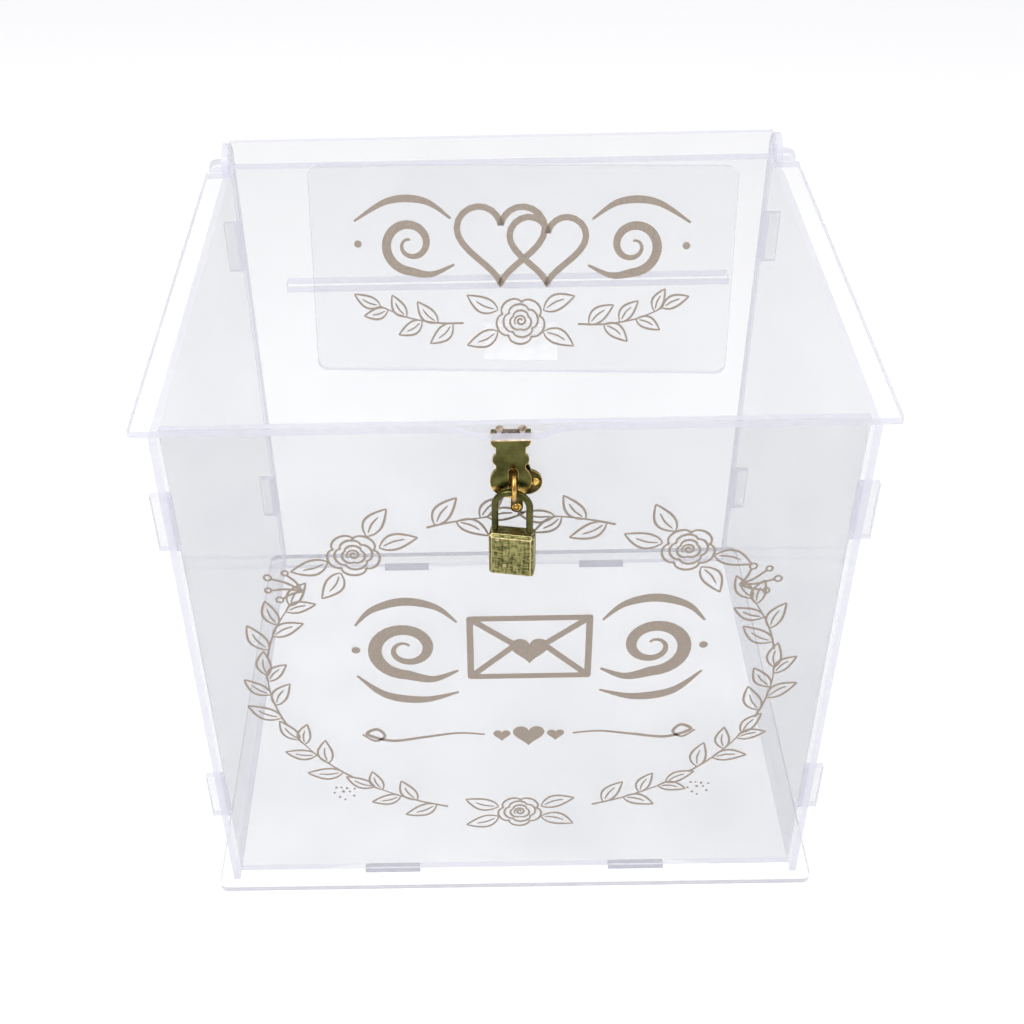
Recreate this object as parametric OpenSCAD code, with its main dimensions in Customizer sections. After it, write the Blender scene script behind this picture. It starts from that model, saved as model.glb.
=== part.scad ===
// Clear acrylic card box for a reception table. Four upright panels lock together and stand on a
// base plate with tabs. The lid turns on two tabs of its own in the ears of the side panels, has
// a card slot, and carries a standing sign. A brass hasp and a small padlock hold it shut.
// Lengths along Y in the driving values are measured back from the side panels' front edges.

/* [Sheet] */
// Thickness of the clear sheet
sheet_t = 2.8; // [2.6:0.1:3]
// Play between a tab and its slot
tab_play = 0.1; // [0.05:0.05:0.2]

/* [Box] */
// Width over the two side panels
box_w = 250; // [230:1:280]
// Depth of a side panel
box_d = 219; // [210:1:230]
// Height of a side panel above the base plate, without its ear
box_h = 242; // [225:1:260]
// Distance of the front and back panels from the side panels' edges
panel_inset = 4.8; // [4.6:0.1:5.2]
// Height of the ears and of the back panel above the lid's underside
ear_rise = 11.2; // [10.6:0.1:12]

/* [Base plate] */
// Margin of the base plate beyond each side panel
base_side_margin = 6.2; // [5:0.1:10]
// Margin of the base plate beyond the side panels' front and back edges
base_end_margin = 4.3; // [3:0.1:10]
// Corner radius of the base plate
base_r = 4; // [2:0.5:8]

/* [Tabs] */
// Length of a tab on a panel's side edge
side_tab_len = 25; // [20:1:30]
// How far a side tab stands out of the side panel
side_tab_proud = 5; // [0:0.1:5]
// Height of the lower side tabs' centre above the base plate
side_tab_low = 50.5; // [40:0.5:70]
// Height of the upper side tabs' centre above the base plate
side_tab_high = 200.5; // [150:0.5:205]
// Length of a tab on a panel's bottom edge
bottom_tab_len = 24.4; // [20:0.2:30]
// Distance of the bottom tabs' centres from the middle
bottom_tab_x = 54.4; // [40:0.2:80]

/* [Lid] */
// Margin of the lid beyond each side panel
lid_side_margin = 7; // [5:0.1:8]
// Front edge of the lid behind the side panels' front edges
lid_front = 0.5; // [0:0.5:2]
// Front corner radius of the lid
lid_r = 1; // [0.5:0.5:4]
// Gap between the lid's wings and the ears
wing_gap = 0.7; // [0.5:0.1:1.5]
// Width of the lid's hinge tab
hinge_tab_w = 8.6; // [7:0.1:8.8]
// Length of the card slot
slot_len = 173; // [150:1:180]
// Width of the card slot
slot_w = 6.4; // [5:0.1:9]
// Distance of the card slot's middle behind the side panels' front edges
slot_y = 100; // [90:1:120]
// Width of the flat front of the lid's tongue
tongue_flat = 15.6; // [14:0.2:20]
// How far the tongue stands out in front of the lid
tongue_out = 4.9; // [4.6:0.1:5.4]
// Width of the curved blend at each side of the tongue
tongue_blend = 13.2; // [10:0.2:16]
// Sideways place of the tongue, the hasp leaf and the strap
hasp_x = -1.2; // [-1.2:0.1:-1]

/* [Sign] */
// Width of the sign
sign_w = 144.4; // [120:0.2:160]
// Height of the sign
sign_h = 72.7; // [60:0.1:90]
// Corner radius of the sign
sign_r = 3.6; // [2:0.2:6]
// Angle by which the sign leans back
sign_lean = 12.8; // [8:0.2:16]
// Angle by which the sign is turned about the vertical
sign_yaw = -2.9; // [-5:0.1:5]
// Sideways place of the sign's middle
sign_x = 3; // [-5:0.5:5]
// Distance of the sign's foot behind the side panels' front edges
sign_y = 32; // [25:1:38]
// Width of the wedge that holds the sign up
wedge_w = 26; // [20:1:40]
// Depth of the lid that the sign and its wedge take up
wedge_reach = 18; // [16:0.5:22]

/* [Hasp] */
// Thickness of the hasp's sheet brass
hasp_t = 1; // [0.9:0.05:1]
// Radius of the hinge barrel
barrel_r = 1.6; // [1.5:0.05:1.6]
// Radius of the hinge pin
hasp_pin_r = 0.6; // [0.5:0.05:0.6]
// Radius of the round end of the strap
disc_r = 7.3; // [7.2:0.1:7.6]
// Sideways place of the staple plate
staple_x = 1; // [0.8:0.1:1.1]
// Sideways place of the staple ring
ring_x = -0.2; // [-0.3:0.1:-0.1]
// Thickness of the staple plate
staple_t = 0.9; // [0.8:0.05:0.9]
// Radius of the staple ring's bend, to the middle of the wire
ring_bend_r = 4.8; // [4.7:0.05:4.8]
// Radius of the staple ring's wire
ring_wire_r = 0.8; // [0.7:0.05:0.8]

/* [Padlock] */
// Width of the padlock body
lock_w = 16.4; // [15.6:0.1:17]
// Depth of the padlock body
lock_d = 7; // [6.6:0.1:7]
// Height of the padlock body
lock_h = 18.8; // [18.6:0.1:19.5]
// Bevel of the padlock body's edges
lock_bevel = 1.2; // [0.6:0.1:1.2]
// Angle by which the padlock hangs turned about the vertical
lock_yaw = -10; // [-14:1:0]
// Radius of the shackle's rod
shackle_rod_r = 1.25; // [1.2:0.05:1.25]
// Radius of the shackle's bend, to the middle of the rod
shackle_bend_r = 6.2; // [6.1:0.05:6.3]
// Clear height of the shackle's straight legs above the body
shackle_rise = 11; // [10.5:0.1:12]
// How far the body drops when it is unlocked
lock_drop = 6.5; // [6:0.1:6.5]

/* [Hidden] */
$fn = 48;
eps = 0.01;

front_y = -box_d / 2;
lid_z = sheet_t + box_h;
lid_top = lid_z + sheet_t;
inner_w = box_w - 2 * sheet_t;
front_panel_y = front_y + panel_inset;
back_panel_y = front_y + box_d - panel_inset - sheet_t;

// Lid hinge: the axis runs through the middle of the lid's two hinge tabs and of the round ears
ear_r = ear_rise - sheet_t / 2;
hinge_y = front_y + box_d - ear_r;
hinge_z = lid_z + sheet_t / 2;
hinge_hole_r = sqrt(hinge_tab_w * hinge_tab_w + sheet_t * sheet_t) / 2 + 0.23;
lid_back_y = hinge_y - 1.6;
lid_w = box_w + 2 * lid_side_margin;
lid_middle_w = inner_w - 1;
wing_back_y = hinge_y - ear_r - wing_gap;
tab_start = inner_w / 2 + 0.2;
tab_end = lid_w / 2 - 0.2;
tab_corner_r = 4;

// Hasp: the barrel sits 0.3 mm under the lid's tongue, ahead of the front panel
barrel_y = front_y + 2;
barrel_z = lid_z - barrel_r - 0.3;
barrel_play = 0.05;
knuckle_w = 3.8;
knuckle_gap = 0.1;
middle_knuckle_w = 6;
strap_half_w = middle_knuckle_w / 2 + knuckle_gap + knuckle_w;
strap_y = barrel_y - barrel_r;
leaf_front_y = front_y - 3.8;
leaf_t = 0.9;
rivet_x = 3.9;
rivet_y = front_y - 1.8;
rivet_r = 0.8;
disc_z = lid_z - 21.2;
bulge_z = lid_z - 12;
shoulder_z = lid_z - 4.3;

// Staple: a plate on the front panel and a ring that comes through the strap's slot
plate_y = front_panel_y - staple_t;
ring_z = lid_z - 21.6;
ring_bend_y = front_y - 1.8;
lobe_z = lid_z - 24.4;
lobe_r = 5.4;
lobe_x = 3.6;
plate_tip_z = lid_z - 35.7;
plate_tip_r = 2.2;
screw_r = 0.7;
screw_hole_r = 0.8;
screw_places = [[-6.2, lobe_z], [6.2, lobe_z], [0, plate_tip_z]];

// Padlock: its own frame starts at the bottom middle of the body, toe leg on +X
lock_x = -0.8;
lock_y = front_y - 2.5;
rod_z = lid_z - 24;
lock_z = rod_z - shackle_bend_r - shackle_rise - lock_h;
bend_z = rod_z - shackle_bend_r - lock_z;
leg_x = shackle_bend_r;
bore_r = shackle_rod_r + 0.05;
toe_tip_z = lock_h - 5.6;
heel_tip_z = lock_h - 9.5;
heel_bore_z = 2;
plug_r = 2.5;
plug_low = 0.3;
plug_top = lock_h - 3.55;
latch_low = lock_h - 3.4;
latch_t = 2;
latch_w = 3.6;
channel_end_x = -3.9;
channel_play = 0.05;
latch_bore_r = 0.75;
latch_bite = 0.8;
latch_tip_x = leg_x - shackle_rod_r + latch_bite;
latch_back_x = 0.2;
latch_slope = 0.4;
cam_r = 1.84;
cam_pin_r = 0.5;
pin_r = 0.5;
retainer_x = -leg_x + shackle_rod_r;
retainer_z = lock_h - 1.8;
plug_pin_r = 0.4;
plug_pin_z = 5;
plug_groove_r = 2;

clear_sheet = [0.86, 0.88, 0.92, 0.45];
brass = [0.55, 0.5, 0.28];
bright_brass = [0.78, 0.66, 0.36];
steel = [0.6, 0.6, 0.62];

// ---- shapes used by several parts ----

// A rectangle with round corners, centred
module round_rect(w, h, r) {
    square([w - 2 * r, h], center = true);
    square([w, h - 2 * r], center = true);
    for (sx = [-1, 1], sy = [-1, 1])
        translate([sx * (w / 2 - r), sy * (h / 2 - r)]) circle(r);
}

// An outline drawn in X and Z, made t thick from y backwards
module upright(y, t) {
    translate([0, y + t, 0]) rotate([90, 0, 0]) linear_extrude(t) children();
}

// An outline drawn in Y and Z, made t thick from x to the right
module side_on(x, t) {
    translate([x, 0, 0]) rotate([90, 0, 90]) linear_extrude(t) children();
}

// A straight round rod along X, centred on x
module rod_x(x, y, z, len, r) {
    translate([x - len / 2, y, z]) rotate([0, 90, 0]) cylinder(h = len, r = r);
}

// A straight round rod along Y, from y backwards
module rod_y(x, y, z, len, r) {
    translate([x, y, z]) rotate([-90, 0, 0]) cylinder(h = len, r = r);
}

// A half ring in the X-Y plane, on the +Y side
module half_ring(bend_r, wire_r) {
    rotate_extrude(angle = 180) translate([bend_r, 0]) circle(wire_r);
}

// Points of a coil of round wire, one ring of points for each step
function coil_points(r, wire_r, len, turns, steps, sides) = [
    for (i = [0 : turns * steps], j = [0 : sides - 1])
        let (a = 360 * i / steps, b = 360 * j / sides, ring = r + wire_r * cos(b))
        [ring * cos(a), ring * sin(a),
         wire_r + (len - 2 * wire_r) * i / (turns * steps) + wire_r * sin(b)]
];

module coil_spring(r, wire_r, len, turns) {
    steps = 14;
    sides = 6;
    last = turns * steps;
    walls = [
        for (i = [0 : last - 1], j = [0 : sides - 1])
            [i * sides + j, i * sides + (j + 1) % sides,
             (i + 1) * sides + (j + 1) % sides, (i + 1) * sides + j]
    ];
    start = [[for (j = [sides - 1 : -1 : 0]) j]];
    end = [[for (j = [0 : sides - 1]) last * sides + j]];
    polyhedron(coil_points(r, wire_r, len, turns, steps, sides), concat(walls, start, end));
}

// ---- acrylic box ----

module base_plate() {
    color(clear_sheet) linear_extrude(sheet_t) difference() {
        round_rect(box_w + 2 * base_side_margin, box_d + 2 * base_end_margin, base_r);
        for (y = [front_panel_y, back_panel_y], sx = [-1, 1])
            translate([sx * bottom_tab_x, y + sheet_t / 2])
                square([bottom_tab_len + tab_play, sheet_t + tab_play], center = true);
    }
}

// Outline of a front or back panel of height h above the base plate, with its tabs
module panel_outline(h) {
    reach = box_w + 2 * side_tab_proud;
    translate([-inner_w / 2, sheet_t]) square([inner_w, h]);
    for (z = [side_tab_low, side_tab_high])
        translate([-reach / 2, sheet_t + z - side_tab_len / 2]) square([reach, side_tab_len]);
    for (sx = [-1, 1])
        translate([sx * bottom_tab_x - bottom_tab_len / 2, 0])
            square([bottom_tab_len, sheet_t + eps]);
}

module front_panel() {
    color(clear_sheet) difference() {
        upright(front_panel_y, sheet_t) panel_outline(box_h);
        for (p = screw_places)
            rod_y(staple_x + p[0], front_panel_y - 1, p[1], sheet_t + 2, screw_hole_r);
    }
}

module back_panel() {
    color(clear_sheet) upright(back_panel_y, sheet_t) panel_outline(box_h + ear_rise);
}

// Outline of a side panel, drawn in Y and Z, with the round ear that carries the lid
module side_outline() {
    difference() {
        union() {
            translate([front_y, sheet_t]) square([box_d, box_h]);
            translate([hinge_y - ear_r, lid_z - eps]) square([2 * ear_r, hinge_z - lid_z + eps]);
            translate([hinge_y, hinge_z]) circle(ear_r);
        }
        translate([hinge_y, hinge_z]) circle(hinge_hole_r);
        for (y = [front_panel_y, back_panel_y], z = [side_tab_low, side_tab_high])
            translate([y + sheet_t / 2, sheet_t + z])
                square([sheet_t + tab_play, side_tab_len + tab_play], center = true);
    }
}

module left_side_panel() {
    color(clear_sheet) side_on(-box_w / 2, sheet_t) side_outline();
}

module right_side_panel() {
    color(clear_sheet) side_on(box_w / 2 - sheet_t, sheet_t) side_outline();
}

// ---- lid ----

// Front edge of the tongue: flat in the middle, with a smooth blend at each side
function tongue_points() =
    let (steps = 16, y0 = front_y + lid_front, half = tongue_flat / 2 + tongue_blend)
    concat(
        [for (i = [0 : steps])
            [-half + tongue_blend * i / steps, y0 - tongue_out * (1 - cos(180 * i / steps)) / 2]],
        [for (i = [steps : -1 : 0])
            [half - tongue_blend * i / steps, y0 - tongue_out * (1 - cos(180 * i / steps)) / 2]],
        [[half, y0 + 1], [-half, y0 + 1]]
    );

// One hinge tab and its neck, rounded at the tab's outer back corner, on the +X side
module hinge_tab() {
    tab_front_y = hinge_y - hinge_tab_w / 2;
    neck_x = lid_middle_w / 2 - 1;
    full_w = tab_end - tab_start;
    translate([neck_x, tab_front_y]) square([tab_start - neck_x + eps, lid_back_y - tab_front_y]);
    translate([tab_start, tab_front_y]) square([full_w, hinge_tab_w - tab_corner_r]);
    translate([tab_start, tab_front_y]) square([full_w - tab_corner_r, hinge_tab_w]);
    translate([tab_end - tab_corner_r, hinge_y + hinge_tab_w / 2 - tab_corner_r])
        circle(tab_corner_r);
}

module lid_outline() {
    y0 = front_y + lid_front;
    depth = wing_back_y - y0;
    translate([-lid_w / 2, y0 + lid_r]) square([lid_w, depth - lid_r]);
    translate([-lid_w / 2 + lid_r, y0]) square([lid_w - 2 * lid_r, depth]);
    for (sx = [-1, 1]) translate([sx * (lid_w / 2 - lid_r), y0 + lid_r]) circle(lid_r);
    translate([-lid_middle_w / 2, y0 + lid_r])
        square([lid_middle_w, lid_back_y - y0 - lid_r]);
    translate([hasp_x, 0]) polygon(tongue_points());
    hinge_tab();
    mirror([1, 0]) hinge_tab();
}

module lid() {
    color(clear_sheet) translate([0, 0, lid_z]) linear_extrude(sheet_t) difference() {
        lid_outline();
        translate([0, front_y + slot_y]) square([slot_len, slot_w], center = true);
        for (sx = [-1, 1]) translate([hasp_x + sx * rivet_x, rivet_y]) circle(rivet_r + 0.05);
    }
}

// ---- sign on the lid ----

module on_lid() {
    translate([sign_x, front_y + sign_y, lid_top]) rotate([0, 0, sign_yaw]) children();
}

module sign_plate() {
    color(clear_sheet) on_lid() translate([0, 0, sheet_t * sin(sign_lean)])
        rotate([-sign_lean, 0, 0]) translate([0, sheet_t, sign_h / 2]) rotate([90, 0, 0])
        linear_extrude(sheet_t) round_rect(sign_w, sign_h, sign_r);
}

// A wedge bonded to the sign's back, relieved at its lower front corner
module sign_wedge() {
    back = [sheet_t * cos(sign_lean), 0];
    up = [sin(sign_lean), cos(sign_lean)];
    low = back + 3.6 * up;
    high = back + 16 * up;
    profile = [low, high, high + [2.4, 0], [wedge_reach, 1.2], [wedge_reach, 0], [8.2, 0]];
    color(clear_sheet) on_lid() side_on(-wedge_w / 2, wedge_w) polygon(profile);
}

// ---- hasp on the lid ----

module hasp_leaf() {
    leaf_w = 13.5;
    leaf_back_y = barrel_y - barrel_r - 0.2;
    color(brass) difference() {
        union() {
            translate([hasp_x - leaf_w / 2, leaf_front_y, lid_z - leaf_t])
                cube([leaf_w, leaf_back_y - leaf_front_y, leaf_t]);
            translate([hasp_x - middle_knuckle_w / 2, leaf_back_y - eps, lid_z - leaf_t])
                cube([middle_knuckle_w, barrel_y - leaf_back_y + eps, leaf_t]);
            rod_x(hasp_x, barrel_y, barrel_z, middle_knuckle_w, barrel_r);
        }
        rod_x(hasp_x, barrel_y, barrel_z, middle_knuckle_w + 2, hasp_pin_r);
        for (sx = [-1, 1])
            translate([hasp_x + sx * rivet_x, rivet_y, lid_z - leaf_t - 1])
                cylinder(h = leaf_t + 2, r = rivet_r);
    }
}

module hasp_rivets() {
    head_t = 0.5;
    color(bright_brass) for (sx = [-1, 1]) translate([hasp_x + sx * rivet_x, rivet_y, 0]) {
        translate([0, 0, lid_z - leaf_t - head_t])
            cylinder(h = sheet_t + leaf_t + 2 * head_t, r = rivet_r);
        for (z = [lid_z - leaf_t - head_t, lid_top])
            translate([0, 0, z]) cylinder(h = head_t, r = 1.4);
    }
}

module hasp_pin() {
    color(steel) rod_x(hasp_x, barrel_y, barrel_z, 2 * strap_half_w + 0.4, hasp_pin_r);
}

// Face of the strap: shoulders at the barrel, a bulge, and a round end
module strap_outline() {
    shank_half = 5.2;
    shoulder_r = 2.6;
    bulge_r = 2.8;
    slot_half_w = 1.7;
    slot_x = 0.8;
    slot_half_h = ring_bend_r + ring_wire_r + 0.3;
    difference() {
        union() {
            translate([-shank_half, disc_z]) square([2 * shank_half, barrel_z - disc_z]);
            for (sx = [-1, 1]) {
                translate([sx * (strap_half_w - shoulder_r), shoulder_z]) circle(shoulder_r);
                translate([sx * 3.6, bulge_z]) circle(bulge_r);
            }
            translate([-strap_half_w, shoulder_z]) square([2 * strap_half_w, barrel_z - shoulder_z]);
            translate([0, disc_z]) circle(disc_r);
        }
        hull() for (sz = [-1, 1])
            translate([slot_x, ring_z + sz * (slot_half_h - slot_half_w)]) circle(slot_half_w);
        translate([-middle_knuckle_w / 2 - knuckle_gap, barrel_z - barrel_r - 0.4])
            square([middle_knuckle_w + 2 * knuckle_gap, 2 * barrel_r + 1]);
    }
}

module hasp_strap() {
    knuckle_x = strap_half_w - knuckle_w / 2;
    trim_z = barrel_z - barrel_r;
    color(brass) difference() {
        union() {
            translate([hasp_x, 0, 0]) upright(strap_y, hasp_t) difference() {
                strap_outline();
                translate([-strap_half_w - 1, barrel_z])
                    square([2 * strap_half_w + 2, barrel_z - trim_z + 3]);
            }
            for (sx = [-1, 1])
                rod_x(hasp_x + sx * knuckle_x, barrel_y, barrel_z, knuckle_w, barrel_r);
        }
        rod_x(hasp_x, barrel_y, barrel_z, 2 * strap_half_w + 2, hasp_pin_r + barrel_play);
    }
}

// ---- staple on the front panel ----

module staple_plate() {
    color(brass) translate([staple_x, 0, 0]) difference() {
        upright(plate_y, staple_t) {
            for (sx = [-1, 1]) translate([sx * lobe_x, lobe_z]) circle(lobe_r);
            translate([0, lobe_z + 4.6]) circle(lobe_r - 0.4);
            translate([-plate_tip_r, plate_tip_z]) square([2 * plate_tip_r, lobe_z - plate_tip_z]);
            translate([0, plate_tip_z]) circle(plate_tip_r);
        }
        for (p = screw_places) rod_y(p[0], plate_y - 1, p[1], staple_t + 2, screw_hole_r);
        for (sz = [-1, 1])
            rod_y(ring_x - staple_x, plate_y - 1, ring_z + sz * ring_bend_r, staple_t + 2,
                  ring_wire_r);
    }
}

module staple_ring() {
    leg_len = plate_y + staple_t - ring_bend_y;
    color(bright_brass) translate([ring_x, 0, 0]) {
        translate([0, ring_bend_y, ring_z]) rotate([0, 0, 180]) rotate([0, -90, 0])
            half_ring(ring_bend_r, ring_wire_r);
        for (sz = [-1, 1])
            rod_y(0, ring_bend_y, ring_z + sz * ring_bend_r, leg_len, ring_wire_r);
    }
}

// Three small screws with domed heads in front of the plate
module staple_screws() {
    dome_r = 2.2;
    head_t = 0.8;
    shank_len = staple_t + sheet_t + 1.6;
    color(bright_brass) for (p = screw_places) translate([staple_x + p[0], plate_y, p[1]]) {
        rod_y(0, -eps, 0, shank_len, screw_r);
        intersection() {
            translate([0, dome_r - head_t, 0]) sphere(dome_r);
            translate([-dome_r, -head_t - 1, -dome_r]) cube([2 * dome_r, head_t + 1, 2 * dome_r]);
        }
    }
}

module staple_nuts() {
    nut_t = 1.2;
    color(bright_brass) for (p = screw_places)
        translate([staple_x + p[0], front_panel_y + sheet_t, p[1]]) rotate([-90, 0, 0])
            difference() {
                cylinder(h = nut_t, r = 1.6, $fn = 6);
                translate([0, 0, -1]) cylinder(h = nut_t + 2, r = screw_r);
            }
}

// ---- padlock ----

module in_lock() {
    translate([lock_x, lock_y, lock_z]) rotate([0, 0, lock_yaw]) children();
}

// A rectangle with its corners cut at 45 degrees, from the middle of its lower edge
module bevel_rect(w, h, c) {
    polygon([[-w / 2 + c, 0], [w / 2 - c, 0], [w / 2, c], [w / 2, h - c],
             [w / 2 - c, h], [-w / 2 + c, h], [-w / 2, h - c], [-w / 2, c]]);
}

module lock_case() {
    intersection() {
        upright(-lock_d, 2 * lock_d) bevel_rect(lock_w, lock_h, lock_bevel);
        side_on(-lock_w, 2 * lock_w) bevel_rect(lock_d, lock_h, lock_bevel);
        linear_extrude(lock_h) translate([0, -lock_d / 2]) bevel_rect(lock_w, lock_d, lock_bevel);
    }
}

module padlock_body() {
    color(bright_brass) in_lock() difference() {
        lock_case();
        translate([leg_x, 0, toe_tip_z - 0.7]) cylinder(h = lock_h, r = bore_r);
        translate([-leg_x, 0, heel_bore_z]) cylinder(h = lock_h, r = bore_r);
        translate([0, 0, -1]) cylinder(h = latch_low + 1 + 1, r = plug_r + 0.05);
        translate([channel_end_x, -latch_w / 2 - channel_play, latch_low - channel_play])
            cube([leg_x - channel_end_x, latch_w + 2 * channel_play, latch_t + 2 * channel_play]);
        rod_y(retainer_x, -lock_d, retainer_z, 2 * lock_d, pin_r);
        rod_y(-plug_r + 0.05, -lock_d, plug_pin_z, 2 * lock_d, plug_pin_r);
    }
}

// The toe leg has a notch for the latch, with a ramp below it; the heel leg has a long flat
module padlock_shackle() {
    notch_top = latch_low + latch_t + 0.1;
    notch_low = latch_low - 0.1;
    notch_x = latch_tip_x + 0.1;
    tip = toe_tip_z - 0.1;
    color(brass) in_lock() difference() {
        union() {
            translate([0, 0, bend_z]) rotate([90, 0, 0]) half_ring(shackle_bend_r, shackle_rod_r);
            translate([leg_x, 0, toe_tip_z]) cylinder(h = bend_z - toe_tip_z, r = shackle_rod_r);
            translate([-leg_x, 0, heel_tip_z]) cylinder(h = bend_z - heel_tip_z, r = shackle_rod_r);
        }
        upright(-2, 4) polygon([
            [notch_x - 2, notch_top], [notch_x, notch_top], [notch_x, notch_low],
            [notch_x - latch_slope * (notch_low - tip), tip], [notch_x - 2, tip]
        ]);
        translate([retainer_x - pin_r - 0.05, -2, retainer_z - lock_drop - pin_r - 0.1])
            cube([2, 4, lock_drop + 2 * pin_r + 0.7]);
    }
}

// The plug turns by a key in its keyway; the pin on its top draws the latch back
module padlock_plug() {
    cam = cam_r * [cos(45), sin(45)];
    color(bright_brass) in_lock() difference() {
        union() {
            translate([0, 0, plug_low]) cylinder(h = plug_top - plug_low, r = plug_r);
            translate([cam[0], cam[1], plug_top - eps])
                cylinder(h = latch_low + 0.8 - plug_top, r = cam_pin_r);
        }
        translate([-0.45, -1.7, plug_low - 1]) cube([0.9, 3.4, 6]);
        translate([0, 0, plug_pin_z - 0.5]) difference() {
            cylinder(h = 1, r = plug_r + 1);
            translate([0, 0, -1]) cylinder(h = 3, r = plug_groove_r);
        }
    }
}

module padlock_latch() {
    slot_x = cam_r * cos(45) - cam_pin_r - 0.15;
    color(steel) in_lock() difference() {
        translate([latch_back_x, -latch_w / 2, latch_low])
            cube([latch_tip_x - latch_back_x, latch_w, latch_t]);
        translate([slot_x, 0.6, latch_low - 1]) cube([2 * cam_pin_r + 0.3, latch_w, 2]);
        rod_x(latch_back_x, 0, latch_low + latch_t / 2, 6.4, latch_bore_r);
    }
}

// The spring behind the latch, from the channel's end into the latch's bore
module padlock_latch_spring() {
    wire_r = 0.12;
    color(steel) in_lock() translate([channel_end_x, 0, latch_low + latch_t / 2])
        rotate([0, 90, 0]) coil_spring(latch_bore_r - 0.13 - wire_r, wire_r, 4.5, 5);
}

module padlock_shackle_spring() {
    color(steel) in_lock() translate([-leg_x, 0, heel_bore_z])
        coil_spring(0.95, 0.2, heel_tip_z - heel_bore_z, 7);
}

module padlock_retaining_pin() {
    color(steel) in_lock() rod_y(retainer_x, -lock_d / 2 + 0.3, retainer_z, lock_d - 0.6, pin_r);
}

module padlock_plug_pin() {
    color(steel) in_lock()
        rod_y(-plug_r + 0.05, -lock_d / 2 + 0.3, plug_pin_z, lock_d - 0.6, plug_pin_r);
}

base_plate();
front_panel();
back_panel();
left_side_panel();
right_side_panel();
lid();
sign_plate();
sign_wedge();
hasp_leaf();
hasp_rivets();
hasp_pin();
hasp_strap();
staple_plate();
staple_ring();
staple_screws();
staple_nuts();
padlock_body();
padlock_shackle();
padlock_plug();
padlock_latch();
padlock_latch_spring();
padlock_shackle_spring();
padlock_retaining_pin();
padlock_plug_pin();
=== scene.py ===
import math

import bmesh
import bpy
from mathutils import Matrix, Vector


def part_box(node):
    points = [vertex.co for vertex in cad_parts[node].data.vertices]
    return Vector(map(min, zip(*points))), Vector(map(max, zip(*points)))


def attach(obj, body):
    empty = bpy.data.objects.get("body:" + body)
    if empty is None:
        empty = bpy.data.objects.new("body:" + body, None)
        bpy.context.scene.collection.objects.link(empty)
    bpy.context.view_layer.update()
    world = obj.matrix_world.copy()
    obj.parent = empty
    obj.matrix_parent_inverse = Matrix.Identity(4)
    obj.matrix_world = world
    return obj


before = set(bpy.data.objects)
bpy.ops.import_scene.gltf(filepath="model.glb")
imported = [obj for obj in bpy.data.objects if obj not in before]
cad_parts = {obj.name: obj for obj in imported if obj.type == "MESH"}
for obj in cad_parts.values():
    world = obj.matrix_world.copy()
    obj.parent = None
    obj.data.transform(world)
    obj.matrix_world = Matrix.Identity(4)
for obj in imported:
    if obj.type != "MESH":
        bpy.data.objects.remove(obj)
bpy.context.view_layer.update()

MM = 0.001

# ---------------------------------------------------------------- camera and studio


CAMERA_PLACE = (-0.01115, -0.50836, 0.53009)
CAMERA_TURN = (50.89, 1.15, -0.18)
CAMERA_LENS = 50.65
CAMERA_SHIFT = (0.0426, 0.0098)
FLOOR_HALF = 6.0
FLOOR_Z = -0.0003


def make_camera():
    cam = bpy.data.cameras.new("camera")
    ob = bpy.data.objects.new("camera", cam)
    bpy.context.collection.objects.link(ob)
    ob.location = CAMERA_PLACE
    ob.rotation_euler = [math.radians(a) for a in CAMERA_TURN]
    cam.sensor_width = 36
    cam.lens = CAMERA_LENS
    cam.shift_x, cam.shift_y = CAMERA_SHIFT
    bpy.context.scene.camera = ob


def make_world():
    world = bpy.data.worlds.new("studio")
    world.use_nodes = True
    nt = world.node_tree
    back = nt.nodes["Background"]
    coord = nt.nodes.new("ShaderNodeTexCoord")
    split = nt.nodes.new("ShaderNodeSeparateXYZ")
    ramp = nt.nodes.new("ShaderNodeValToRGB")
    ramp.color_ramp.elements[0].position = 0.0
    ramp.color_ramp.elements[0].color = (0.74, 0.75, 0.77, 1)
    ramp.color_ramp.elements[1].position = 0.7
    ramp.color_ramp.elements[1].color = (1.0, 1.0, 1.0, 1)
    nt.links.new(coord.outputs["Generated"], split.inputs[0])
    nt.links.new(split.outputs["Z"], ramp.inputs["Fac"])
    nt.links.new(ramp.outputs["Color"], back.inputs["Color"])
    back.inputs["Strength"].default_value = 0.85
    bpy.context.scene.world = world


def area_light(name, place, target, size, power):
    light = bpy.data.lights.new(name, "AREA")
    light.shape = "SQUARE"
    light.size = size
    light.energy = power
    ob = bpy.data.objects.new(name, light)
    bpy.context.collection.objects.link(ob)
    ob.location = place
    ob.rotation_euler = (Vector(target) - Vector(place)).to_track_quat("-Z", "Y").to_euler()


def make_floor():
    """A wide plain, just under the part so that the two never share a plane."""
    mesh = bpy.data.meshes.new("floor")
    signs = ((-1, -1), (1, -1), (1, 1), (-1, 1))
    mesh.from_pydata([(FLOOR_HALF * x, FLOOR_HALF * y, FLOOR_Z) for x, y in signs],
                     [], [(0, 1, 2, 3)])
    ob = bpy.data.objects.new("floor", mesh)
    bpy.context.collection.objects.link(ob)
    mat = bpy.data.materials.new("pale_floor")
    mat.use_nodes = True
    bsdf = mat.node_tree.nodes["Principled BSDF"]
    bsdf.inputs["Base Color"].default_value = (0.92, 0.92, 0.93, 1)
    bsdf.inputs["Roughness"].default_value = 0.9
    bsdf.inputs["Specular IOR Level"].default_value = 0.1
    mesh.materials.append(mat)


# ---------------------------------------------------------------- materials


def linear(r, g, b):
    """An sRGB colour in 0-255 as linear RGBA."""
    def one(c):
        c /= 255
        return c / 12.92 if c <= 0.04045 else ((c + 0.055) / 1.055) ** 2.4
    return (one(r), one(g), one(b), 1)


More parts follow.
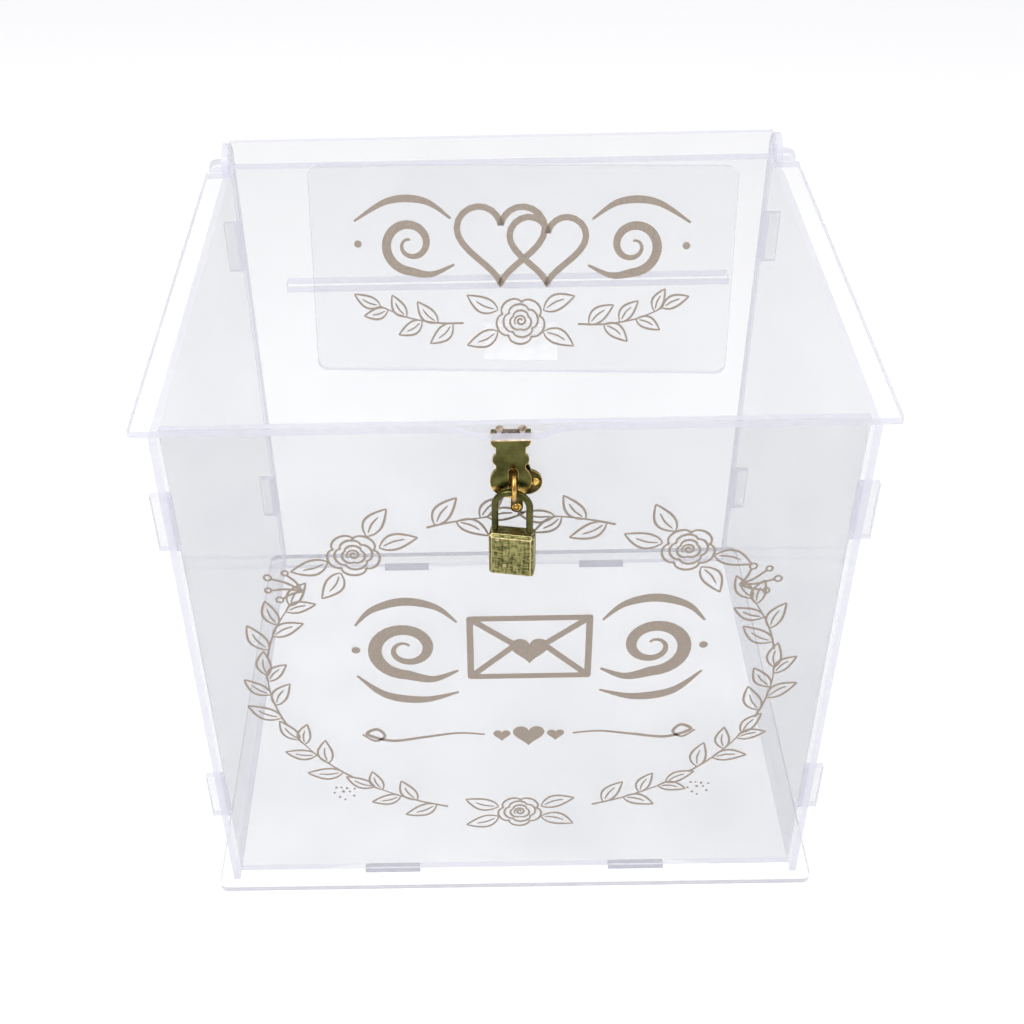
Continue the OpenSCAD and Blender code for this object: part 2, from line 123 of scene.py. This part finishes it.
class Nodes:
    """A short way to build a node tree around one Principled shader."""

    def __init__(self, name):
        self.mat = bpy.data.materials.new(name)
        self.mat.use_nodes = True
        self.nt = self.mat.node_tree
        self.bsdf = self.nt.nodes["Principled BSDF"]
        self.coord = self.nt.nodes.new("ShaderNodeTexCoord")

    def set(self, **values):
        for key, value in values.items():
            self.bsdf.inputs[key.replace("_", " ")].default_value = value

    def put(self, kind, inputs=(), **settings):
        node = self.nt.nodes.new(kind)
        for key, value in settings.items():
            setattr(node, key, value)
        for key, value in dict(inputs).items():
            if isinstance(value, bpy.types.NodeSocket):
                self.nt.links.new(value, node.inputs[key])
            else:
                node.inputs[key].default_value = value
        return node

    def link(self, socket, key):
        self.nt.links.new(socket, self.bsdf.inputs[key])

    def math(self, op, a, b=0.5, clamp=False):
        node = self.put("ShaderNodeMath", {0: a, 1: b}, operation=op, use_clamp=clamp)
        return node.outputs[0]

    def noise(self, scale, detail=3.0, stretch=(1, 1, 1), rough=0.5, turn=0.0):
        mapping = self.put("ShaderNodeMapping",
                           {"Vector": self.coord.outputs["Object"], "Scale": stretch,
                            "Rotation": (0.0, math.radians(turn), 0.0)})
        tex = self.put("ShaderNodeTexNoise", {"Vector": mapping.outputs[0], "Scale": scale,
                                              "Detail": detail, "Roughness": rough})
        return tex.outputs[0]

    def mix(self, fac, a, b):
        node = self.put("ShaderNodeMix", data_type="RGBA")
        for socket, value in ((0, fac), (6, a), (7, b)):
            if isinstance(value, bpy.types.NodeSocket):
                self.nt.links.new(value, node.inputs[socket])
            else:
                node.inputs[socket].default_value = value
        return node.outputs[2]

    def remap(self, value, low, high, a, b):
        return self.put("ShaderNodeMapRange", {0: value, 1: low, 2: high, 3: a, 4: b}).outputs[0]

    def bump(self, height, strength, distance):
        node = self.put("ShaderNodeBump", {"Height": height, "Strength": strength,
                                           "Distance": distance})
        self.link(node.outputs[0], "Normal")
        return node.outputs[0]

    def edges(self, radius):
        """1 on sharp edges and 0 on flat faces, for edge wear and painted edge highlights."""
        bevel = self.put("ShaderNodeBevel", {"Radius": radius}, samples=6)
        geo = self.put("ShaderNodeNewGeometry")
        dot = self.put("ShaderNodeVectorMath", {0: bevel.outputs[0], 1: geo.outputs["Normal"]},
                       operation="DOT_PRODUCT")
        return self.remap(dot.outputs["Value"], 0.998, 0.93, 0.0, 1.0)


def acrylic(name, normal, face_alpha=0.06, edge_alpha=0.66, rim=(252, 252, 254)):
    """Clear sheet. normal is the sheet's own direction: other faces are its cut edges."""
    m = Nodes(name)
    m.set(Roughness=0.06, IOR=1.49)
    dot = m.put("ShaderNodeVectorMath", {0: m.coord.outputs["Normal"], 1: normal},
                operation="DOT_PRODUCT")
    edge = m.math("LESS_THAN", m.math("ABSOLUTE", dot.outputs["Value"]), 0.7)
    # the same from both sides of a face, unlike a Fresnel node
    facing = m.put("ShaderNodeLayerWeight", {"Blend": 0.5}).outputs["Facing"]
    gloss = m.math("MULTIPLY", m.math("POWER", facing, 5.0), 0.4)
    haze = m.remap(m.noise(14, 2.0), 0.3, 0.7, face_alpha * 0.8, face_alpha * 1.2)
    frost = m.remap(m.noise(260, 2.0), 0.3, 0.7, edge_alpha * 0.95, edge_alpha * 1.05)
    opacity = m.put("ShaderNodeMix", {0: edge, 2: m.math("ADD", gloss, haze), 3: frost},
                    data_type="FLOAT")
    # light gets through clear sheet better than the tint suggests
    path = m.put("ShaderNodeLightPath").outputs
    lighting = m.math("MAXIMUM", path["Is Shadow Ray"], path["Is Diffuse Ray"])
    thinner = m.remap(lighting, 0.0, 1.0, 1.0, 0.15)
    m.link(m.math("MULTIPLY", opacity.outputs[0], thinner), "Alpha")
    m.link(m.mix(edge, linear(158, 160, 168), linear(*rim)), "Base Color")
    m.bump(m.noise(120, 2.0), 0.04, 0.0002)
    return m.mat


def brass(name, dark, light, rough, scale, painted_glint=None, gold=(236, 200, 122)):
    """Brass with tarnish in patches, fine scratches, bright gold edges that are partly wear and partly
    painted highlight, and an optional painted highlight band.
    """
    m = Nodes(name)
    m.set(Metallic=1.0)
    patch = m.remap(m.noise(scale, 4.0, (1, 1, 1), 0.6), 0.35, 0.65, 0.0, 1.0)
    body = m.mix(patch, dark, light)
    # the sharp edges get the gold colour: partly wear, partly painted highlight
    wear_and_highlight = m.edges(0.0003)
    # an optional painted highlight band is added to the gold edges
    if painted_glint:
        wear_and_highlight = m.math("MAXIMUM", wear_and_highlight, painted_glint(m))
    m.link(m.mix(wear_and_highlight, body, linear(*gold)), "Base Color")
    scratch = m.noise(2600, 2.0, (1, 0.08, 1))
    m.link(m.remap(scratch, 0.3, 0.7, rough * 0.7, rough * 1.4), "Roughness")
    m.bump(m.noise(scale * 2.5, 4.0, (1, 1, 1), 0.7), 0.15, 0.0002)
    return m.mat


def painted_rim_highlight(centre, r_low, r_high, below):
    """A mask for a painted highlight on the lower rim of a round plate in X and Z, in patches."""
    def mask(m):
        split = m.put("ShaderNodeSeparateXYZ", {0: m.coord.outputs["Object"]})
        x = m.math("SUBTRACT", split.outputs["X"], centre[0])
        z = m.math("SUBTRACT", split.outputs["Z"], centre[1])
        r = m.math("SQRT", m.math("ADD", m.math("MULTIPLY", x, x), m.math("MULTIPLY", z, z)))
        rim = m.remap(r, r_low, r_high, 0.0, 1.0)
        low = m.remap(z, below + 0.0012, below, 0.0, 1.0)
        patchy = m.remap(m.noise(700, 3.0), 0.35, 0.55, 0.35, 1.0)
        return m.math("MULTIPLY", m.math("MULTIPLY", rim, low), patchy, True)
    return mask


def hatched_brass(name):
    """Cast brass with a crossed, scratched face, for the padlock body."""
    m = Nodes(name)
    m.set(Metallic=1.0)
    strokes = 1500
    a = m.noise(strokes, 2.0, (1, 1, 0.2), turn=38)
    b = m.noise(strokes, 2.0, (0.2, 1, 1), turn=50)
    cross = m.math("MULTIPLY", m.math("ADD", a, b), 0.5)
    tone = m.remap(cross, 0.4, 0.6, 0.0, 1.0)
    body = m.mix(tone, linear(64, 66, 38), linear(152, 146, 94))
    # the sharp edges get a near-white gold: partly wear, partly painted highlight
    wear_and_highlight = m.edges(0.0005)
    m.link(m.mix(wear_and_highlight, body, linear(254, 232, 174)), "Base Color")
    m.link(m.remap(cross, 0.4, 0.6, 0.45, 0.28), "Roughness")
    m.bump(cross, 0.5, 0.0002)
    return m.mat


def bright_steel(name):
    m = Nodes(name)
    m.set(Metallic=1.0)
    grain = m.noise(1800, 2.0, (0.1, 1, 1))
    m.link(m.mix(grain, linear(150, 150, 156), linear(200, 200, 206)), "Base Color")
    m.link(m.remap(grain, 0.3, 0.7, 0.25, 0.4), "Roughness")
    m.bump(grain, 0.1, 0.0001)
    return m.mat


def ink():
    """Printed taupe vinyl: matte, with a fine grain."""
    m = Nodes("taupe_print")
    grain = m.remap(m.noise(1600, 3.0), 0.35, 0.65, 0.0, 1.0)
    m.link(m.mix(grain, linear(140, 128, 117), linear(156, 144, 132)), "Base Color")
    m.set(Roughness=0.6)
    m.bump(grain, 0.15, 0.0001)
    return m.mat


def dress(node, mat):
    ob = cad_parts[node]
    if not ob.material_slots:
        ob.data.materials.append(mat)
    for s in ob.material_slots:
        s.material = mat


# ---------------------------------------------------------------- printed ornament


def smooth(points, steps=8):
    """A smooth path through points (Catmull-Rom)."""
    p = [points[0]] + list(points) + [points[-1]]
    path = []
    for i in range(1, len(p) - 2):
        for k in range(steps):
            t = k / steps
            path.append(tuple(
                0.5 * (2 * p[i][c] + (p[i + 1][c] - p[i - 1][c]) * t
                       + (2 * p[i - 1][c] - 5 * p[i][c] + 4 * p[i + 1][c] - p[i + 2][c]) * t * t
                       + (3 * p[i][c] - p[i - 1][c] - 3 * p[i + 1][c] + p[i + 2][c]) * t ** 3)
                for c in (0, 1)))
    path.append(tuple(points[-1]))
    return path


class Print:
    """Flat strokes in a plane, in millimetres, as closed ribbons with a small thickness."""

    DEPTH = 0.12
    GAP = 0.01
    STEP = 0.004
    LAYERS = 17

    def __init__(self, line):
        self.line = line
        self.verts = []
        self.faces = []
        self.strokes = 0

    def layer(self):
        """Bottom and top of the next stroke: strokes that cross never share a plane."""
        self.strokes += 1
        top = self.GAP + self.DEPTH + self.STEP * (self.strokes % self.LAYERS)
        return self.GAP, top

    def ribbon(self, path, width):
        """path is a list of (u, v). width is a number or a function of 0..1 along it."""
        n = len(path)
        start = len(self.verts)
        low, high = self.layer()
        for i, (u, v) in enumerate(path):
            u0, v0 = path[max(i - 1, 0)]
            u1, v1 = path[min(i + 1, n - 1)]
            length = math.hypot(u1 - u0, v1 - v0) or 1.0
            nu, nv = -(v1 - v0) / length, (u1 - u0) / length
            w = (width(i / (n - 1)) if callable(width) else width) / 2
            for side in (1, -1):
                for depth in (high, low):
                    self.verts.append((u + side * nu * w, v + side * nv * w, depth))
        for i in range(n - 1):
            a = start + 4 * i
            b = a + 4
            for p, q in ((0, 2), (2, 3), (3, 1), (1, 0)):
                self.faces.append((a + p, b + p, b + q, a + q))
        self.faces.append((start, start + 2, start + 3, start + 1))
        end = start + 4 * (n - 1)
        self.faces.append((end + 1, end + 3, end + 2, end))

    def stroke(self, points, width=None, taper=0.35):
        w = width or self.line
        self.ribbon(smooth(points), lambda t: w * (taper + (1 - taper) * math.sin(math.pi * t) ** 0.5))

    def disc(self, u, v, r):
        n = 14
        start = len(self.verts)
        for depth in reversed(self.layer()):
            for k in range(n):
                a = 2 * math.pi * k / n
                self.verts.append((u + r * math.cos(a), v + r * math.sin(a), depth))
        self.faces.append(tuple(range(start, start + n)))
        self.faces.append(tuple(range(start + 2 * n - 1, start + n - 1, -1)))
        for k in range(n):
            j = (k + 1) % n
            self.faces.append((start + k, start + n + k, start + n + j, start + j))

    def circle(self, u, v, r, width=None):
        self.ribbon([(u + r * math.cos(a), v + r * math.sin(a))
                     for a in (2 * math.pi * k / 20 for k in range(21))], width or self.line)

    def leaf(self, u, v, angle, length, width):
        """A leaf outline from its stalk at (u, v), with a vein."""
        c, s = math.cos(angle), math.sin(angle)

        def at(t, off):
            x, y = length * t, off + 0.06 * length * math.sin(math.pi * t)
            return (u + c * x - s * y, v + s * x + c * y)

        for side in (1, -1):
            self.stroke([at(t, side * width / 2 * math.sin(math.pi * t ** 0.8))
                         for t in (0, 0.15, 0.35, 0.55, 0.75, 0.9, 1)])
        self.stroke([at(0.12, 0), at(0.4, 0.02 * length), at(0.68, 0)], self.line * 0.8)

    def sprig(self, path, leaves, length, width):
        """A stem along path with leaves at alternate sides and one at its tip."""
        pts = smooth(path)
        self.ribbon(pts, lambda t: self.line * (1.0 - 0.5 * t))
        n = len(pts) - 1
        for k in range(leaves):
            i = int(n * (0.18 + 0.7 * k / max(leaves - 1, 1)))
            (u0, v0), (u1, v1) = pts[max(i - 1, 0)], pts[min(i + 1, n)]
            heading = math.atan2(v1 - v0, u1 - u0)
            size = 1 - 0.25 * k / max(leaves, 1)
            side = 1 if k % 2 == 0 else -1
            self.leaf(*pts[i], heading + side * math.radians(42), length * size, width * size)
        (u0, v0), (u1, v1) = pts[-2], pts[-1]
        self.leaf(u1, v1, math.atan2(v1 - v0, u1 - u0), length * 0.9, width * 0.85)

    def berries(self, u, v, angle, length):
        """A forked stalk that ends in small open berries."""
        for k, (turn, reach) in enumerate(((-38, 0.75), (-10, 1.0), (16, 0.9), (44, 0.65))):
            a = angle + math.radians(turn)
            r = length * (0.09 + 0.015 * (k % 2))
            tip = (u + math.cos(a) * length * reach, v + math.sin(a) * length * reach)
            mid = (u + math.cos(a - 0.15) * length * reach * 0.5,
                   v + math.sin(a - 0.15) * length * reach * 0.5)
            self.stroke([(u, v), mid, tip], taper=0.7)
            self.circle(tip[0] + math.cos(a) * r, tip[1] + math.sin(a) * r, r, self.line * 0.8)

    def dots(self, u, v, size):
        self.disc(u, v, size * 0.11)
        for k in range(9):
            a = k * 2 * math.pi * 0.382
            r = size * (0.45 + 0.4 * (k % 3) / 2)
            self.disc(u + r * math.cos(a), v + r * math.sin(a), size * (0.08 + 0.015 * (k % 2)))

    def rose(self, u, v, r):
        """An open rose: three rings of petals round a coil."""
        for ring, (reach, petals, turn) in enumerate(((0.9, 5, 0.2), (0.64, 4, 0.9), (0.4, 3, 0.4))):
            for k in range(petals):
                a0 = turn + 2 * math.pi * k / petals
                a1 = a0 + 2 * math.pi / petals * 1.12
                pts = []
                for t in (0, 0.2, 0.4, 0.6, 0.8, 1):
                    a = a0 + (a1 - a0) * t
                    rr = r * reach * (0.86 + 0.24 * math.sin(math.pi * t) ** 0.7)
                    pts.append((u + rr * math.cos(a), v + rr * math.sin(a)))
                self.stroke(pts, taper=0.5)
        coil = [(u + r * (0.05 + 0.21 * t) * math.cos(2 * math.pi * 1.6 * t),
                 v + r * (0.05 + 0.21 * t) * math.sin(2 * math.pi * 1.6 * t))
                for t in (k / 18 for k in range(19))]
        self.stroke(coil, taper=0.6)

    def heart(self, u, v, size, width, fill=False):
        pts = []
        for k in range(41):
            a = 2 * math.pi * k / 40
            x = 16 * math.sin(a) ** 3
            y = 13 * math.cos(a) - 5 * math.cos(2 * a) - 2 * math.cos(3 * a) - math.cos(4 * a)
            pts.append((u + size * x / 32, v + size * y / 32))
        if not fill:
            self.ribbon(pts, width)
            return
        start = len(self.verts)
        n = 40
        for depth in reversed(self.layer()):
            self.verts.extend((p[0], p[1], depth) for p in pts[:n])
        self.faces.append(tuple(range(start + n - 1, start - 1, -1)))
        self.faces.append(tuple(range(start + n, start + 2 * n)))
        for k in range(n):
            j = (k + 1) % n
            self.faces.append((start + k, start + j, start + n + j, start + n + k))

    def scroll(self, points, thick, thin):
        """A pen stroke, thin at both ends and thick in the middle."""
        self.ribbon(smooth(points, 12), lambda t: thin + (thick - thin) * math.sin(math.pi * t) ** 1.5)

    def volute(self, centre, r, side, turns, tail, thick, thin):
        """A coil that opens out to radius r at its foot and runs on along tail."""
        steps = 44
        path = []
        for k in range(steps + 1):
            t = k / steps
            a = -math.pi / 2 + side * 2 * math.pi * turns * (1 - t)
            reach = r * (0.16 + 0.84 * t)
            path.append((centre[0] + reach * math.cos(a), centre[1] + reach * math.sin(a)))
        path += smooth([path[-1]] + tail, 10)[1:]
        self.ribbon(path, lambda t: thin + (thick - thin) * math.sin(math.pi * t ** 1.3) ** 1.2)

    def build(self, name, origin, right, up, out, mat, body):
        mesh = bpy.data.meshes.new(name)
        verts = [origin + (right * p[0] + up * p[1] + out * p[2]) * MM for p in self.verts]
        mesh.from_pydata(verts, [], self.faces)
        mesh.validate()
        bm = bmesh.new()
        bm.from_mesh(mesh)
        bmesh.ops.recalc_face_normals(bm, faces=bm.faces)
        bm.to_mesh(mesh)
        bm.free()
        mesh.materials.append(mat)
        ob = bpy.data.objects.new(name, mesh)
        bpy.context.collection.objects.link(ob)
        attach(ob, body)
        return ob


def on_ellipse(cx, cy, a, b, deg):
    t = math.radians(deg)
    return (cx + a * math.cos(t), cy + b * math.sin(t))


def front_ornament():
    """A mirrored wreath round an envelope with scrolls, and a swash. Millimetres above the base."""
    p = Print(0.95)
    cx, cy, a, b = 2.5, 120, 100, 82
    right, left = 0, 180

    def spot(side, deg, out=0):
        """A place on the oval, deg above the horizontal, at the right or mirrored at the left."""
        return on_ellipse(cx, cy, a + out, b + out, deg if side == right else left - deg)

    def spray(side, start, span, leaves):
        p.sprig([spot(side, start + span * k / 4) for k in range(5)], leaves, 15, 6.5)

    def flower(side, deg, r):
        u, v = spot(side, deg)
        p.rose(u, v, r)
        along = math.radians((deg if side == right else left - deg) + 90)
        for turn in (0.35, -0.35):
            for way in (0, math.pi):
                d = along + way + turn
                p.leaf(u + math.cos(d) * r * 1.02, v + math.sin(d) * r * 1.02, d, 15, 7)

    # four equal sprays up each side, a flower above them, a short spray to the top
    first, pitch, span = -72, 27, 20
    flower(right, -90, 9.5)
    for side in (right, left):
        for k in range(4):
            spray(side, first + pitch * k, span, 4)
        flower(side, 52, 10)
        spray(side, 70, 13, 3)
        u, v = spot(side, 35)
        p.berries(u, v, math.radians(20 if side == right else 160), 13)
        u, v = spot(side, first + pitch - 2, 10)
        p.dots(u, v, 6)

    # the envelope in the middle
    ux, uy, w, h = 6, 136, 46, 31
    x0, x1, low, high = ux - w / 2, ux + w / 2, uy - h / 2, uy + h / 2
    fold = uy - 3
    for line in (((x0, low), (x1, low)), ((x1, low), (x1, high)),
                 ((x1, high), (x0, high)), ((x0, high), (x0, low)),
                 ((x0, high), (ux, fold)), ((x1, high), (ux, fold)),
                 ((x0, low), (ux - 6, uy + 1)), ((x1, low), (ux + 6, uy + 1))):
        p.ribbon(line, 2.6)
    for corner in ((x0, low), (x1, low), (x1, high), (x0, high)):
        p.disc(*corner, 1.3)
    p.heart(ux, uy - 1, 15, 0, fill=True)

    # scrolls at each side of it, and a looped swash below
    for s in (-1, 1):
        def m(x, y):
            return (ux + s * x, y)
        p.volute(m(48, 136), 14, s, 1.6, [m(38, 119.5), m(28, 124)], 5.4, 1.0)
        p.scroll([m(28, 150), m(36, 158), m(48, 161), m(60, 157), m(67, 149)], 4.0, 0.9)
        p.scroll([m(28, 112), m(42, 108), m(57, 111), m(68, 122)], 4.0, 0.9)
        p.disc(*m(67.5, 136), 1.7)
        p.scroll([m(68, 88), m(63, 84), m(59, 87), m(62, 91), m(66, 88), m(56, 84), m(42, 86),
                  m(29, 88), m(18, 87)], 1.5, 0.8)
        p.heart(*m(11, 86.5), 7, 0, fill=True)
    p.heart(ux, 86.5, 13, 0, fill=True)
    return p


def sign_ornament():
    """Two linked hearts with scrolls over a mirrored garland, from the sign's lower middle."""
    p = Print(0.75)
    p.heart(-7, 48, 30, 2.2)
    p.heart(9, 46, 26, 2.2)
    low = 19
    p.rose(0, low, 8.6)
    for s in (-1, 1):
        def m(x, y):
            return (s * x, y)
        p.volute(m(38, 46), 9.5, s, 1.5, [m(31, 35.5), m(23, 39)], 3.2, 0.8)
        p.scroll([m(24, 55), m(33, 61), m(45, 61), m(57, 54)], 2.6, 0.8)
        p.disc(*m(56, 46), 1.3)
        p.sprig([m(20, low - 1), m(29, low - 1), m(40, low + 1), m(49, low + 5)], 5, 11, 5)
        for turn in (26, -26):
            d = math.radians(turn if s > 0 else 180 - turn)
            p.leaf(8.8 * math.cos(d), low + 8.8 * math.sin(d), d, 12, 5.5)
    return p


# ---------------------------------------------------------------- scene

make_camera()
make_world()
make_floor()
area_light("key", (-0.9, -0.7, 1.5), (0, 0, 0.15), 1.1, 18)
area_light("fill", (1.2, -0.4, 1.0), (0, 0, 0.15), 1.4, 7)
bpy.context.scene.view_settings.view_transform = "Standard"
bpy.context.scene.cycles.transparent_max_bounces = 48

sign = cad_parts["sign_plate"]
sign_face = max((q for q in sign.data.polygons if q.normal.y < -0.5), key=lambda q: q.area)
sign_out = sign_face.normal.normalized()
sign_up = (Vector((0, 0, 1)) - sign_out * sign_out.z).normalized()
sign_right = sign_up.cross(sign_out)

# face opacities differ per sheet as painted shade, darkest on the front panel and lightest on the lid;
# the darker rim colour for the base plate's cut edges is painted shade too
RIM = (206, 206, 218)
SHADED_RIM = (166, 166, 178)
sheets = (("base_plate", (0, 0, 1), 0.055, SHADED_RIM), ("lid", (0, 0, 1), 0.045, RIM),
          ("front_panel", (0, 1, 0), 0.17, RIM), ("back_panel", (0, 1, 0), 0.09, RIM),
          ("left_side_panel", (1, 0, 0), 0.085, RIM), ("right_side_panel", (1, 0, 0), 0.085, RIM),
          ("sign_plate", tuple(sign_out), 0.065, RIM))
for node_name, axis, shade_alpha, rim in sheets:
    dress(node_name, acrylic("clear_" + node_name, axis, shade_alpha, rim=rim))
dress("sign_wedge", acrylic("clear_sign_wedge", (0, 0, 0), edge_alpha=0.4))

# gold below is the colour of the sharp edges: partly wear, partly painted highlight
aged = brass("aged_brass", linear(54, 54, 26), linear(98, 96, 54), 0.28, 90,
             gold=(214, 184, 112))
plate_brass = brass("plate_brass", linear(44, 42, 20), linear(100, 86, 46), 0.24, 260)
strap_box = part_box("hasp_strap")
DISC_R = 0.0073
disc = ((strap_box[0].x + strap_box[1].x) / 2, strap_box[0].z + DISC_R)
# the strap's disc gets a painted highlight in the gold colour along its lower rim
strap_brass = brass("strap_brass", linear(54, 54, 26), linear(100, 98, 56), 0.26, 90,
                    painted_glint=painted_rim_highlight(disc, 0.0040, 0.0052, -0.0032), gold=(236, 190, 104))
bright = brass("bright_brass", linear(150, 104, 40), linear(230, 188, 104), 0.2, 240)
# random patches between dark mauve and near-white stand in for shade and highlights: painted shade and
# painted highlight
leaf_glint_brass = brass("pale_brass_with_painted_glints", linear(118, 92, 92), linear(252, 236, 214), 0.2, 420)
steel = bright_steel("plain_steel")
dress("hasp_strap", strap_brass)
dress("staple_plate", plate_brass)
dress("padlock_shackle", aged)
for n in ("hasp_leaf", "hasp_rivets"):
    dress(n, leaf_glint_brass)
for n in ("staple_ring", "staple_screws", "staple_nuts", "padlock_plug"):
    dress(n, bright)
dress("padlock_body", hatched_brass("hatched_brass"))
for n in ("hasp_pin", "padlock_latch", "padlock_latch_spring", "padlock_shackle_spring",
          "padlock_retaining_pin", "padlock_plug_pin"):
    dress(n, steel)

taupe = ink()
base_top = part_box("base_plate")[1].z
panel_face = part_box("front_panel")[0].y
X, Z, OUT = Vector((1, 0, 0)), Vector((0, 0, 1)), Vector((0, -1, 0))
front_ornament().build("front_print", Vector((0, panel_face, base_top)), X, Z, OUT, taupe, "box")

corners = [v.co for v in sign.data.vertices]
middle = (min(c.dot(sign_right) for c in corners) + max(c.dot(sign_right) for c in corners)) / 2
foot = min(c.dot(sign_up) for c in corners)
face = max(c.dot(sign_out) for c in corners)
sign_origin = sign_right * middle + sign_up * foot + sign_out * face
sign_ornament().build("sign_print", sign_origin, sign_right, sign_up, sign_out, taupe, "lid")
